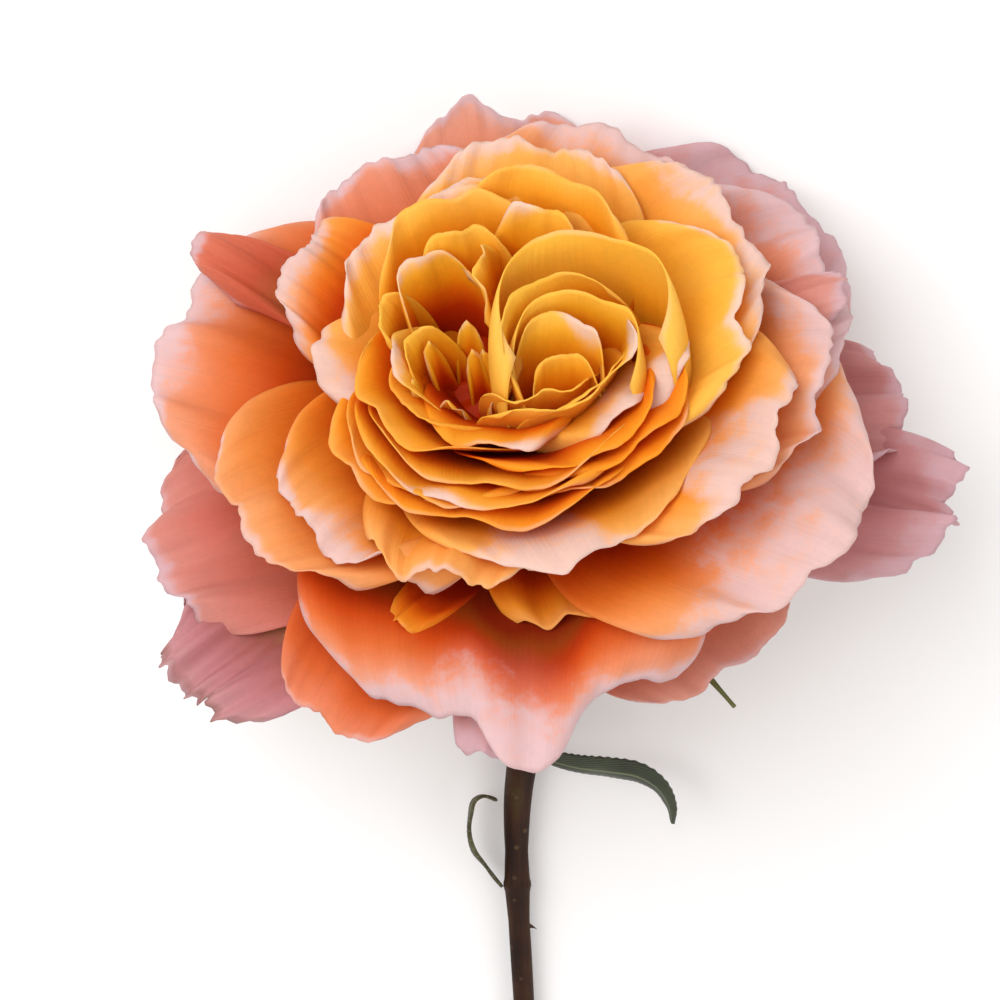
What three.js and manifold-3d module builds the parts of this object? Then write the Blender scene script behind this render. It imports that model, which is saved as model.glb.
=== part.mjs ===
// A cut garden rose with a full quartered bloom, lying on a flat surface.
// Millimetres, +Z up. The stem runs from its cut end at -Y to the bloom at +Y.
// The bloom is drawn in a frame of its own, with +Z along the flower's axis, and is then tipped back
// until its lower petals and the cut end of the stem carry it.
import * as THREE from "three";
import { mergeVertices } from "three/addons/utils/BufferGeometryUtils.js";
import Module from "manifold-3d";

const wasm = await Module();
wasm.setup();

// Driving dimensions
const PETAL_THICKNESS = 0.8;
const LEAF_THICKNESS = 0.8;
const SEAT_GAP = 0.3;
const RECEPTACLE = new THREE.Vector3(-2.54, 71.75, 22.4);
const AXIS_RISE = 43.2;
const AXIS_TURN = 7.2;
const CORE_BOTTOM = -1;
const CORE_SIDES = 16;
const HIP_LENGTH = 12;
const HIP_RADIUS = 5.6;
const HIP_NECK_RADIUS = 3.2;
const HIP_SIDES = 16;
const STEM_SIDES = 10;
const STEM_STEPS = 30;
const FLOOR_DEPTH = 30;
const FLOOR_SIDE = 600;

const radians = THREE.MathUtils.degToRad;
const clamp = THREE.MathUtils.clamp;

function smooth(t) {
  const c = clamp(t, 0, 1);
  return c * c * (3 - 2 * c);
}

function mix(a, b, t) {
  return a + (b - a) * t;
}

// Closed meshes and solids
function solidOf(geometry) {
  const bare = geometry.clone();
  bare.deleteAttribute("normal");
  bare.deleteAttribute("uv");
  const merged = mergeVertices(bare, 1e-4);
  return new wasm.Manifold(
    new wasm.Mesh({
      numProp: 3,
      vertProperties: merged.attributes.position.array,
      triVerts: new Uint32Array(merged.index.array),
    }),
  );
}

function geometryOf(solid) {
  const mesh = solid.getMesh();
  const geometry = new THREE.BufferGeometry();
  geometry.setAttribute("position", new THREE.BufferAttribute(mesh.vertProperties, 3));
  geometry.setIndex(new THREE.BufferAttribute(mesh.triVerts, 1));
  geometry.computeVertexNormals();
  return geometry;
}

// The largest outer body of a solid: sealed hollows are filled and loose scraps are dropped.
function wholeBody(solid) {
  const bodies = solid.decompose().filter((body) => body.volume() > 0);
  return bodies.reduce((best, body) => (body.volume() > best.volume() ? body : best));
}

function fuse(solids) {
  return solids.reduce((whole, solid) => whole.add(solid));
}

// Bends a flat grid by a rule, place(u, v) with u across from -1 to 1 and v along from 0 to 1,
// and thickens it. Both faces are split into the same triangles.
function sheetGeometry(place, cellsAcross, cellsAlong, thickness) {
  const plane = new THREE.PlaneGeometry(2, 1, cellsAcross, cellsAlong);
  const flat = plane.attributes.position;
  const count = flat.count;
  for (let i = 0; i < count; i += 1) {
    const point = place(flat.getX(i), flat.getY(i) + 0.5);
    flat.setXYZ(i, point.x, point.y, point.z);
  }
  plane.computeVertexNormals();
  const normals = plane.attributes.normal;
  const corners = new Float32Array(count * 6);
  for (let i = 0; i < count; i += 1) {
    const middle = new THREE.Vector3().fromBufferAttribute(flat, i);
    const normal = new THREE.Vector3().fromBufferAttribute(normals, i);
    middle.clone().addScaledVector(normal, thickness / 2).toArray(corners, i * 3);
    middle.clone().addScaledVector(normal, -thickness / 2).toArray(corners, (count + i) * 3);
  }
  const triangles = [];
  const face = plane.index.array;
  for (let i = 0; i < face.length; i += 3) {
    triangles.push(face[i], face[i + 1], face[i + 2]);
    triangles.push(count + face[i], count + face[i + 2], count + face[i + 1]);
  }
  const rim = rimOfGrid(cellsAcross, cellsAlong);
  rim.forEach((here, i) => {
    const next = rim[(i + 1) % rim.length];
    triangles.push(here, count + here, next);
    triangles.push(next, count + here, count + next);
  });
  const sheet = new THREE.BufferGeometry();
  sheet.setAttribute("position", new THREE.BufferAttribute(corners, 3));
  sheet.setIndex(triangles);
  return sheet;
}

// Vertex numbers round the border of a plane's grid, anticlockwise as its front shows them.
function rimOfGrid(cellsAcross, cellsAlong) {
  const row = cellsAcross + 1;
  const rim = [];
  for (let j = 0; j < cellsAlong; j += 1) rim.push(j * row);
  for (let i = 0; i < cellsAcross; i += 1) rim.push(cellsAlong * row + i);
  for (let j = cellsAlong; j > 0; j -= 1) rim.push(j * row + cellsAcross);
  for (let i = cellsAcross; i > 0; i -= 1) rim.push(i);
  return rim;
}

// One petal.
// Angles are in degrees from the flower's axis: lean at the root, open past the middle, flick at the rim.
// turn is the side of the bloom that it grows on, cup the arc that it bends through across its width,
// ruffle the height of its waves, and at moves a folded inner petal off the axis.
const PETAL_DEFAULTS = {
  rise: 0,
  root: 5,
  tip: 0,
  tipAt: 0,
  phase: 0,
  shoulder: 0.25,
  claw: 0.25,
  at: [0, 0],
};
// Shares of a petal's length: where it is widest, where it has opened and settled into its own cup,
// where the curl of its rim begins, how far that curl runs, and where the ruffles begin
const WIDEST = 0.7;
const OPEN_BY = 0.55;
const CUP_BY = 0.5;
const SHIFT_BY = 0.45;
const CURL_FROM = 0.62;
const CURL_SPAN = 0.5;
const SIDE_CURL = 0.22;
const RUFFLE_FROM = 0.35;
const ROOT_CUP = 110;
const RIM_NARROWING = 0.1;
const WAVES = 2.5;
const WANDER = 0.03;
const TIP_SPREAD = 0.22;
const MIDLINE_STEPS = 14;

function rimHeight(p, u) {
  const shoulders = p.shoulder * Math.abs(u) ** 3;
  const point = (p.tip / p.length) * Math.exp(-(((u - p.tipAt) / TIP_SPREAD) ** 2));
  const slow = Math.sin(5.1 * u + 1.7 * p.phase);
  const quick = 0.6 * Math.sin(11.3 * u + 2.9 * p.phase + 1);
  return 1 - shoulders + point + WANDER * (slow + quick);
}

function openAngle(p, v) {
  return mix(p.lean, p.open, smooth(v / OPEN_BY));
}

// Distance from the axis and height of a petal's midline in the column u, found by short steps along it.
function midline(p, u, v) {
  const rim = rimHeight(p, u);
  let rho = p.root;
  let height = p.rise;
  for (let i = 0; i < MIDLINE_STEPS; i += 1) {
    const here = ((i + 0.5) / MIDLINE_STEPS) * v;
    const bend = clamp((here + SIDE_CURL * u * u - CURL_FROM) / CURL_SPAN, 0, 1.2) ** 1.6;
    const angle = radians(openAngle(p, here) + p.flick * bend);
    const step = (p.length * (1 + (rim - 1) * here) * v) / MIDLINE_STEPS;
    rho += Math.sin(angle) * step;
    height += Math.cos(angle) * step;
  }
  return [rho, height];
}

function waveHeight(p, u, v) {
  const alongRim = smooth((v - RUFFLE_FROM) / (1 - RUFFLE_FROM));
  const alongSides = 0.8 * smooth((Math.abs(u) - 0.5) / 0.5) * smooth(v / 0.6);
  const strength = Math.max(alongRim, alongSides) ** 1.5;
  const slow = Math.sin(2 * Math.PI * WAVES * (0.5 * u + 0.12 * v) + p.phase);
  const quick = 0.45 * Math.sin(2.3 * Math.PI * WAVES * u + 2.1 * p.phase + 3 * v);
  return p.ruffle * strength * (slow + quick);
}

function petalPoint(p, u, v) {
  const [rho, height] = midline(p, u, v);
  const grown = Math.sin((Math.PI / 2) * clamp(v / WIDEST, 0, 1)) ** 1.1;
  const narrowing = 1 - RIM_NARROWING * clamp((v - WIDEST) / (1 - WIDEST), 0, 1) ** 2;
  const half = (p.width / 2) * mix(p.claw, 1, grown) * narrowing;
  const halfArc = radians(mix(ROOT_CUP, p.cup, smooth(v / CUP_BY))) / 2;
  const across = (Math.sin(halfArc * u) / halfArc) * half;
  const inward = ((1 - Math.cos(halfArc * u)) / halfArc) * half + waveHeight(p, u, v);
  const slope = radians(openAngle(p, v));
  const out = rho - Math.cos(slope) * inward;
  const turn = radians(p.turn);
  const shift = smooth(v / SHIFT_BY);
  return new THREE.Vector3(
    out * Math.cos(turn) - across * Math.sin(turn) + shift * p.at[0],
    out * Math.sin(turn) + across * Math.cos(turn) + shift * p.at[1],
    height + Math.sin(slope) * inward,
  );
}

// Only the stretch of a petal that stands out of the core is made, from the share start of its length.
function petalSolid(settings, start, cellsAcross, cellsAlong) {
  const p = { ...PETAL_DEFAULTS, ...settings };
  const place = (u, v) => petalPoint(p, u, mix(start, 1, v));
  return solidOf(sheetGeometry(place, cellsAcross, cellsAlong, PETAL_THICKNESS));
}

// The petals, whorl by whorl from the outside. start is the share of a petal's length that the core hides,
// and grid the cells that the rest is cut into, across and along.
function petal(turn, lean, open, flick, length, width, cup, ruffle, more = {}) {
  return { turn, lean, open, flick, length, width, cup, ruffle, ...more };
}

const WHORLS = [
  {
    start: 0,
    grid: [5, 5],
    petals: [
      petal(191, 70, 95, 5, 55, 38, 10, 1.2, { phase: 1 }),
      petal(213, 76, 97, 5, 58, 30, 20, 1.6, { phase: 2, tip: 2 }),
      petal(237, 62, 86, 10, 52, 34, 40, 0.6),
      petal(312, 78, 98, 0, 42, 40, 30, 0.5),
      petal(-5, 70, 93, 5, 61, 36, 10, 1.8, { phase: 3, shoulder: 0.4, tip: 3, tipAt: -0.3 }),
      petal(42, 50, 76, 25, 52, 50, 30, 1.5),
      petal(98, 46, 68, 30, 53, 42, 30, 1.2, { tip: 4, tipAt: 0.2 }),
    ],
  },
  {
    start: 0.1,
    grid: [6, 5],
    petals: [
      petal(272, 48, 81, 40, 51, 62, 50, 1, { tip: 13, tipAt: -0.02, shoulder: 0.55 }),
      petal(325, 40, 71, 30, 57, 56, 50, 0.9, { tip: 7, shoulder: 0.5 }),
      petal(168, 42, 69, 30, 55, 49, 45, 1.6, { tip: 2, shoulder: 0.3 }),
      petal(118, 37, 58, 20, 48, 40, 50, 0.8),
      petal(68, 34, 53, 20, 48, 50, 50, 0.8, { tip: 3 }),
      petal(22, 40, 62, 30, 53, 48, 45, 1.4),
      petal(218, 38, 60, 15, 51, 48, 55, 0.6),
      petal(352, 36, 57, 15, 52, 42, 55, 0.7),
    ],
  },
  {
    start: 0.25,
    grid: [6, 5],
    petals: [
      petal(160, 28, 43, 35, 46, 42, 65, 0.8),
      petal(228, 33, 54, 30, 49, 42, 65, 0.9, { phase: 1 }),
      petal(254, 30, 50, 25, 51, 42, 60, 0.6, { tip: 2 }),
      petal(281, 27, 45, 34, 50, 54, 75, 0.5, { tip: 6, tipAt: -0.1, shoulder: 0.35 }),
      petal(328, 30, 50, 25, 52, 46, 70, 0.6, { phase: 2, tip: 3 }),
      petal(32, 27, 46, 22, 50, 46, 70, 0.9),
      petal(128, 23, 38, 30, 46, 48, 80, 1.1),
      petal(85, 25, 42, 18, 47, 40, 70, 0.8),
      petal(4, 23, 40, 25, 48, 46, 90, 0.7, { tip: 2 }),
    ],
  },
  {
    start: 0.45,
    grid: [4, 3],
    petals: [
      petal(262, 24, 40, 20, 47, 46, 90, 0.5, { rise: 1, root: 4 }),
      petal(250, 20, 35.5, 16, 45, 42, 100, 0.5, { rise: 2, root: 4 }),
      petal(190, 20, 36, 60, 43, 34, 90, 0.5, { rise: 2, root: 4, tip: 3, shoulder: 0.4 }),
      petal(320, 20, 36, 18, 45, 36, 90, 0.5, { rise: 2, root: 4 }),
      petal(343, 17, 30, 60, 42, 26, 90, 0.4, { rise: 3, root: 4, tip: 3, shoulder: 0.5 }),
      petal(276, 17, 30.5, 10, 42, 40, 110, 0.4, { rise: 3, root: 4 }),
      petal(220, 17, 31.5, 12, 42, 34, 110, 0.4, { rise: 3, root: 4 }),
      petal(100, 18, 31, 10, 43, 38, 90, 0.6, { rise: 2, root: 4 }),
      petal(258, 13, 25.5, 40, 39, 28, 120, 0.3, { rise: 4, root: 3, tip: 2, tipAt: 0.3 }),
      petal(322, 13, 26, 55, 40, 26, 110, 0.3, { rise: 4, root: 3, tip: 3, shoulder: 0.5 }),
      petal(215, 12, 24, 15, 37, 24, 120, 0.3, { rise: 4, root: 3 }),
    ],
  },
  // The folds that quarter the middle: right, left and far side
  {
    start: 0.6,
    grid: [5, 3],
    petals: [
      petal(82, 6, 11, 10, 39, 58, 250, 0.3, { rise: 4, root: 3, at: [10.5, 4.5], claw: 0.2 }),
      petal(75, 2, 5, 3, 36, 30, 230, 0.3, { rise: 4, root: 2, at: [9.5, 0.5], claw: 0.2 }),
      petal(290, 6, 13, 8, 36, 24, 120, 0.3, { rise: 4, root: 2.5, at: [3, -1] }),
      petal(48, 4, 6, 6, 36, 30, 170, 0.3, { rise: 4, root: 2.5, at: [-14, 3.5], claw: 0.2 }),
      petal(175, 4, 10, 20, 34, 24, 120, 0.4, { rise: 4, root: 2, at: [-13, -1], claw: 0.2 }),
      petal(172, 0, 2, 6, 40, 20, 30, 0.5, { rise: 4, root: 1, at: [-4, 11] }),
    ],
  },
  // The small petals in the eye
  {
    start: 0.7,
    grid: [2, 3],
    petals: [
      petal(300, 2, 4, 16, 30, 8, 120, 0.2, { rise: 4, root: 1.5, at: [-3, -3], claw: 0.5 }),
      petal(200, 2, 6, 20, 30, 8, 120, 0.2, { rise: 4, root: 1.5, at: [-11, -3], claw: 0.5 }),
      petal(90, 2, 3, 10, 28, 8, 120, 0.2, { rise: 4, root: 1.5, at: [-8, 0], claw: 0.5 }),
    ],
  },
];

// The receptacle inside the bloom that the petals stand on, turned about the flower's axis.
const CORE_PROFILE = [
  [0, CORE_BOTTOM],
  [5.4, CORE_BOTTOM],
  [11, 2],
  [16, 8],
  [19, 15],
  [20, 21],
  [17, 25],
  [0, 28],
];

function latheGeometry(profile, sides) {
  const points = profile.map(([radius, height]) => new THREE.Vector2(radius, height));
  return new THREE.LatheGeometry(points, sides).rotateX(Math.PI / 2);
}

// The flower's own frame
function flowerAxis() {
  const rise = radians(AXIS_RISE);
  const turn = radians(AXIS_TURN);
  const level = Math.cos(rise);
  return new THREE.Vector3(-level * Math.sin(turn), level * Math.cos(turn), Math.sin(rise));
}

function flowerFrame() {
  const axis = flowerAxis();
  const right = new THREE.Vector3(1, 0, 0).addScaledVector(axis, -axis.x).normalize();
  const up = axis.clone().cross(right);
  const frame = new THREE.Group();
  frame.quaternion.setFromRotationMatrix(new THREE.Matrix4().makeBasis(right, up, axis));
  frame.position.copy(RECEPTACLE);
  frame.updateMatrixWorld(true);
  return frame;
}

// The surface that the flower lies on, which presses its lowest petals and the stem's cut end flat.
function floorSolid(frame) {
  const slab = new THREE.BoxGeometry(FLOOR_SIDE, FLOOR_SIDE, FLOOR_DEPTH);
  slab.translate(0, 0, -FLOOR_DEPTH / 2);
  if (frame) slab.applyMatrix4(frame.matrixWorld.clone().invert());
  return solidOf(slab);
}

function bloomSolid(frame) {
  const petals = WHORLS.flatMap(({ start, grid, petals: whorl }) =>
    whorl.map((p) => petalSolid(p, start, ...grid)),
  );
  const core = solidOf(latheGeometry(CORE_PROFILE, CORE_SIDES));
  return wholeBody(fuse([core, ...petals]).subtract(floorSolid(frame)));
}

// Calyx: the hip under the petals and its five sepals, bent back
const HIP_TOP = CORE_BOTTOM - SEAT_GAP;
const HIP_PROFILE = [
  [0, HIP_TOP - HIP_LENGTH],
  [HIP_NECK_RADIUS, HIP_TOP - HIP_LENGTH],
  [HIP_NECK_RADIUS + 0.5, HIP_TOP - 0.8 * HIP_LENGTH],
  [HIP_RADIUS - 0.3, HIP_TOP - 0.55 * HIP_LENGTH],
  [HIP_RADIUS, HIP_TOP - 0.35 * HIP_LENGTH],
  [HIP_RADIUS - 0.6, HIP_TOP - 0.1 * HIP_LENGTH],
  [HIP_RADIUS - 1.2, HIP_TOP],
  [0, HIP_TOP],
];
// turn, opening from the axis at the root and at the tip, and length
const SEPALS = [
  { turn: 309, root: 100, tip: 103, length: 45 },
  { turn: 21, root: 105, tip: 135, length: 30 },
  { turn: 93, root: 100, tip: 120, length: 24 },
  { turn: 165, root: 105, tip: 135, length: 31 },
  { turn: 237, root: 105, tip: 132, length: 26 },
];
const SEPAL_WIDTH = 7;
const SEPAL_ROOT = 3;
const SEPAL_DROP = 1.6;
const SEPAL_STEPS = 10;

function sepalPoint(sepal, u, v) {
  const step = (sepal.length * v) / SEPAL_STEPS;
  let rho = SEPAL_ROOT;
  let height = HIP_TOP - SEPAL_DROP;
  for (let i = 0; i < SEPAL_STEPS; i += 1) {
    const here = ((i + 0.5) / SEPAL_STEPS) * v;
    const angle = radians(mix(sepal.root, sepal.tip, smooth(here / 0.7)));
    rho += Math.sin(angle) * step;
    height += Math.cos(angle) * step;
  }
  const half = (SEPAL_WIDTH / 2) * mix(1, 0.12, smooth((v - 0.15) / 0.85));
  const fold = 0.25 * half * u * u;
  const turn = radians(sepal.turn);
  return new THREE.Vector3(
    rho * Math.cos(turn) - half * u * Math.sin(turn),
    rho * Math.sin(turn) + half * u * Math.cos(turn),
    height - fold,
  );
}

function calyxSolid(frame) {
  const hip = solidOf(latheGeometry(HIP_PROFILE, HIP_SIDES));
  const sepals = SEPALS.map((sepal) =>
    solidOf(sheetGeometry((u, v) => sepalPoint(sepal, u, v), 2, 10, LEAF_THICKNESS)),
  );
  return wholeBody(fuse([hip, ...sepals]).subtract(floorSolid(frame)));
}

// Stem: from just under the hip, bending down to the surface and running along it to the cut end
const STEM_ROUTE = [
  [1.6, -19, -13.2],
  [1.2, -31, -15.4],
  [0.3, -42, -16.6],
  [-0.6, -51, -17.2],
  [-1.6, -60, -17.7],
  [-1.6, -74, -18.3],
  [-0.5, -95, -19],
  [1.5, -140, -20],
  [3, -195, -20.7],
];
// Share of the stem's length and its radius there, with the two leaf nodes as swellings
const STEM_RADII = [
  [0, 3.1],
  [0.12, 2.8],
  [0.22, 2.6],
  [0.27, 2.25],
  [0.32, 1.8],
  [0.35, 2.05],
  [0.385, 1.7],
  [0.66, 1.75],
  [0.69, 2.1],
  [0.72, 1.8],
  [1, 1.95],
];
// Share of the stem's length, side in degrees from straight up towards +X, and size of each prickle
const PRICKLES = [
  { along: 0.392, side: 90, size: 1.3 },
  { along: 0.58, side: 60, size: 2 },
  { along: 0.79, side: -50, size: 2.2 },
  { along: 0.9, side: 75, size: 2 },
];

function stemCurve() {
  const start = RECEPTACLE.clone().addScaledVector(flowerAxis(), HIP_TOP - HIP_LENGTH - SEAT_GAP);
  const points = STEM_ROUTE.map(([x, y, z]) => new THREE.Vector3(x, y, z).add(RECEPTACLE));
  return new THREE.CatmullRomCurve3([start, ...points], false, "centripetal");
}

function stemRadius(along) {
  const next = STEM_RADII.findIndex(([share]) => share >= along);
  if (next <= 0) return STEM_RADII[0][1];
  const [before, small] = STEM_RADII[next - 1];
  const [after, large] = STEM_RADII[next];
  return mix(small, large, smooth((along - before) / (after - before)));
}

// Directions square to the stem at a share of its length: its own left-hand side, and upwards.
function stemSides(curve, along) {
  const tangent = along === 0 ? flowerAxis().negate() : curve.getTangentAt(along);
  const side = new THREE.Vector3().crossVectors(tangent, new THREE.Vector3(0, 0, 1)).normalize();
  const up = new THREE.Vector3().crossVectors(side, tangent);
  return { side, up };
}

function stemSolid() {
  const curve = stemCurve();
  const rod = new THREE.CylinderGeometry(1, 1, 1, STEM_SIDES, STEM_STEPS);
  const vertices = rod.attributes.position;
  for (let i = 0; i < vertices.count; i += 1) {
    const along = 0.5 - vertices.getY(i);
    const radius = stemRadius(along);
    const { side, up } = stemSides(curve, along);
    const point = curve.getPointAt(along);
    point.addScaledVector(side, -vertices.getX(i) * radius);
    point.addScaledVector(up, vertices.getZ(i) * radius);
    vertices.setXYZ(i, point.x, point.y, point.z);
  }
  const prickles = PRICKLES.map((prickle) => prickleSolid(curve, prickle));
  return wholeBody(fuse([solidOf(rod), ...prickles]).subtract(floorSolid()));
}

function prickleSolid(curve, { along, side: degrees, size }) {
  const { side, up } = stemSides(curve, along);
  const lean = radians(degrees);
  const out = side.multiplyScalar(-Math.sin(lean)).addScaledVector(up, Math.cos(lean));
  const cone = new THREE.ConeGeometry(0.45 * size, 1.5 * size, 6);
  cone.applyQuaternion(new THREE.Quaternion().setFromUnitVectors(new THREE.Vector3(0, 1, 0), out));
  const foot = curve.getPointAt(along).addScaledVector(out, stemRadius(along) + 0.35 * size);
  cone.translate(foot.x, foot.y, foot.z);
  return solidOf(cone);
}

// Bract leaves: a centre line, the side that the blade spreads to, and its width at the widest
const BRACT_LEFT = {
  route: [
    [-4.1, -74.5, -18],
    [-6.8, -70.6, -17.4],
    [-8.4, -67.9, -16.6],
    [-9.2, -64.5, -15.8],
    [-9, -61.3, -15.2],
    [-8.4, -59, -15],
    [-7.1, -58.2, -15],
    [-4.9, -59, -15.6],
  ],
  spread: [0.1, 0.28, 0.95],
  width: 4.4,
  fold: 0.1,
};
const BRACT_RIGHT = {
  route: [
    [1.5, -51.3, -15.3],
    [3.4, -51.6, -13.8],
    [7.9, -52, -11.4],
    [12.9, -52, -9.4],
    [17.3, -52.6, -8.8],
    [20.5, -54.8, -9.4],
    [22.4, -58.2, -10.8],
    [23.1, -61.8, -12.6],
  ],
  spread: [0, 0.8, 0.6],
  width: 5,
  fold: 0.3,
};

function bractGeometry({ route, spread, width, fold }) {
  const curve = new THREE.CatmullRomCurve3(
    route.map(([x, y, z]) => new THREE.Vector3(x, y, z).add(RECEPTACLE)),
  );
  const wide = new THREE.Vector3(...spread).normalize();
  const place = (u, v) => {
    const tangent = curve.getTangentAt(v);
    const across = wide.clone().addScaledVector(tangent, -wide.dot(tangent)).normalize();
    const normal = new THREE.Vector3().crossVectors(across, tangent);
    const half = (width / 2) * mix(0.22, 1, Math.sin(Math.PI * v ** 0.85) ** 0.8);
    const point = curve.getPointAt(v).addScaledVector(across, half * u);
    return point.addScaledVector(normal, fold * half * u * u);
  };
  return sheetGeometry(place, 4, 14, LEAF_THICKNESS);
}

// Colours and finish
const PETAL_SKIN = new THREE.MeshStandardMaterial({ color: "#e99a5c", roughness: 0.6, metalness: 0 });
const CALYX_SKIN = new THREE.MeshStandardMaterial({ color: "#5b6b34", roughness: 0.6, metalness: 0 });
const STEM_SKIN = new THREE.MeshStandardMaterial({ color: "#3a2418", roughness: 0.5, metalness: 0 });
const LEAF_SKIN = new THREE.MeshStandardMaterial({ color: "#46503c", roughness: 0.5, metalness: 0 });

function named(name, geometry, material) {
  const mesh = new THREE.Mesh(geometry, material);
  mesh.name = name;
  return mesh;
}

const flower = flowerFrame();
flower.add(named("bloom", geometryOf(bloomSolid(flower)), PETAL_SKIN));
flower.add(named("calyx", geometryOf(calyxSolid(flower)), CALYX_SKIN));

const rose = new THREE.Group();
rose.add(flower);
rose.add(named("stem", geometryOf(stemSolid()), STEM_SKIN));
rose.add(named("bract_leaf_left", bractGeometry(BRACT_LEFT), LEAF_SKIN));
rose.add(named("bract_leaf_right", bractGeometry(BRACT_RIGHT), LEAF_SKIN));

export default rose;
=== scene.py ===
# %% [markdown]
# # A cut garden rose, lying on a table
# The CAD model gives the plain solids: one bloom, its green calyx, a dark stem and two narrow leaves.
# This lesson dresses them. Each petal is a flat grid that a short rule bends into shape, so all the petals
# share one piece of code and differ only in a few numbers, as the petals of a real rose do.

# %% Load the frame
import math

import bmesh
import bpy
import numpy as np
from mathutils import Matrix, Vector


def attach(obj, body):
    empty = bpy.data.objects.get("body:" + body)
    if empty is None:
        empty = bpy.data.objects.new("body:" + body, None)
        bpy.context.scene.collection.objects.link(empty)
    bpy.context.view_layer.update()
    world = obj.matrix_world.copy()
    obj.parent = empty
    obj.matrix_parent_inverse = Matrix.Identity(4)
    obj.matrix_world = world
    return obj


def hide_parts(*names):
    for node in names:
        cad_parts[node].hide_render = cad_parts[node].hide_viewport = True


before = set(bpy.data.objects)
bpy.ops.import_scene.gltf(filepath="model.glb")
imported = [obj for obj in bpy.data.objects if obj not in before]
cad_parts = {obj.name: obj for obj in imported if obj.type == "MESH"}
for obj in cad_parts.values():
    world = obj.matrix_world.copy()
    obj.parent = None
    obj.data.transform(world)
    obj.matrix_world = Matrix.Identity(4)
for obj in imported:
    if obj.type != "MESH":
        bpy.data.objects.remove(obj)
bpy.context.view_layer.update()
MM = 0.001

# %% [markdown]
# ## The flower's own frame
# A bloom is easiest to shape when it stands upright, so petals are worked out in a frame with Z along the
# flower's axis. The axis of the lying bloom leans back, and one matrix carries a petal from its own frame
# to its place over the table.

# %% The flower's frame
RECEPTACLE = np.array([-2.54, 71.75, 22.4])
AXIS_RISE = math.radians(43.2)
AXIS_TURN = math.radians(7.2)

level = math.cos(AXIS_RISE)
axis = np.array([-level * math.sin(AXIS_TURN), level * math.cos(AXIS_TURN), math.sin(AXIS_RISE)])
side = np.array([1.0, 0.0, 0.0]) - axis[0] * axis
side /= np.linalg.norm(side)
flower_axes = np.stack([side, np.cross(axis, side), axis])


def to_table(points):
    """Carries points in the flower's frame, in mm, to the table's frame."""
    return RECEPTACLE + points @ flower_axes


print("The flower's axis:", axis.round(3))

# %% [markdown]
# ## Camera
# The photograph shows the flower upright against white. Here it lies down, so the camera looks down on it,
# from 15 degrees past straight overhead. A long lens keeps the near petals from swelling.

# %% Camera
CAMERA_DISTANCE = 620
CAMERA_TIP = math.radians(15)
LENS = 146.9
AIM_SIDEWAYS = -4.41
AIM_DOWN = 5.15

picture_up = np.array([0, math.cos(CAMERA_TIP), -math.sin(CAMERA_TIP)])
towards_camera = np.array([0, math.sin(CAMERA_TIP), math.cos(CAMERA_TIP)])
camera_data = bpy.data.cameras.new("camera")
camera_data.lens = LENS
camera_data.clip_start = 0.01
camera_data.clip_end = 20
camera = bpy.data.objects.new("camera", camera_data)
bpy.context.scene.collection.objects.link(camera)
bpy.context.scene.camera = camera
aim = RECEPTACLE + np.array([AIM_SIDEWAYS, 0, 0]) - AIM_DOWN * picture_up
turned = Matrix([(1, 0, 0), picture_up, towards_camera]).transposed().to_4x4()
camera.matrix_world = Matrix.Translation((aim + CAMERA_DISTANCE * towards_camera) * MM) @ turned
print("Camera at", [round(c, 3) for c in camera.location])

# %% [markdown]
# ## Floor and light
# A plain, nearly white floor stands for the white background. A wide soft light from the upper left models
# the petals, a weaker one fills from the right, and the pale sky keeps the shadows between petals open.

# %% Colour helper and node helper
def linear(hex_colour):
    """sRGB hex to the linear colour that shaders use."""
    channels = [int(hex_colour[i:i + 2], 16) / 255 for i in (1, 3, 5)]
    return (*[c / 12.92 if c <= 0.04045 else ((c + 0.055) / 1.055) ** 2.4 for c in channels], 1)


def add(tree, kind, links=None, stops=None, **settings):
    """Adds a node, gives it settings and colour stops, and fills or links its sockets."""
    made = tree.nodes.new("ShaderNode" + kind)
    for name, value in settings.items():
        setattr(made, name, value)
    if stops:
        ramp = made.color_ramp.elements
        ramp.remove(ramp[-1])
        for number, (place, colour) in enumerate(stops):
            stop = ramp.new(place) if number else ramp[0]
            stop.position = place
            stop.color = linear(colour)
    for socket, source in (links or {}).items():
        if isinstance(source, bpy.types.NodeSocket):
            tree.links.new(source, made.inputs[socket])
        else:
            made.inputs[socket].default_value = source
    return made


def new_material(name):
    """An empty node material and its tree."""
    material = bpy.data.materials.new(name)
    material.use_nodes = True
    material.node_tree.nodes.clear()
    return material, material.node_tree


def scale_for(size_mm):
    """The Scale of a texture on Object coordinates whose marks are so many mm across."""
    return 1 / (size_mm * MM)


print("Middle grey as the shaders see it:", round(linear("#808080")[0], 3))

# %% Floor, sky and lamps
floor_mesh = bmesh.new()
bmesh.ops.create_grid(floor_mesh, x_segments=1, y_segments=1, size=3)
floor_data = bpy.data.meshes.new("floor")
floor_mesh.to_mesh(floor_data)
floor_mesh.free()
floor = bpy.data.objects.new("floor", floor_data)
bpy.context.scene.collection.objects.link(floor)

floor_paint, tree = new_material("white_paper")
paper = add(tree, "BsdfPrincipled", {
    "Base Color": linear("#F7F7F7"), "Roughness": 0.9, "Specular IOR Level": 0.1})
add(tree, "OutputMaterial", {"Surface": paper.outputs["BSDF"]})
floor_data.materials.append(floor_paint)

sky = bpy.data.worlds.new("studio_sky")
sky.use_nodes = True
sky.node_tree.nodes["Background"].inputs["Color"].default_value = linear("#FFFDFB")
sky.node_tree.nodes["Background"].inputs["Strength"].default_value = 0.76
bpy.context.scene.world = sky
bpy.context.scene.view_settings.view_transform = "Standard"

BLOOM_MIDDLE = Vector((0, 0.085, 0.03))
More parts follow.
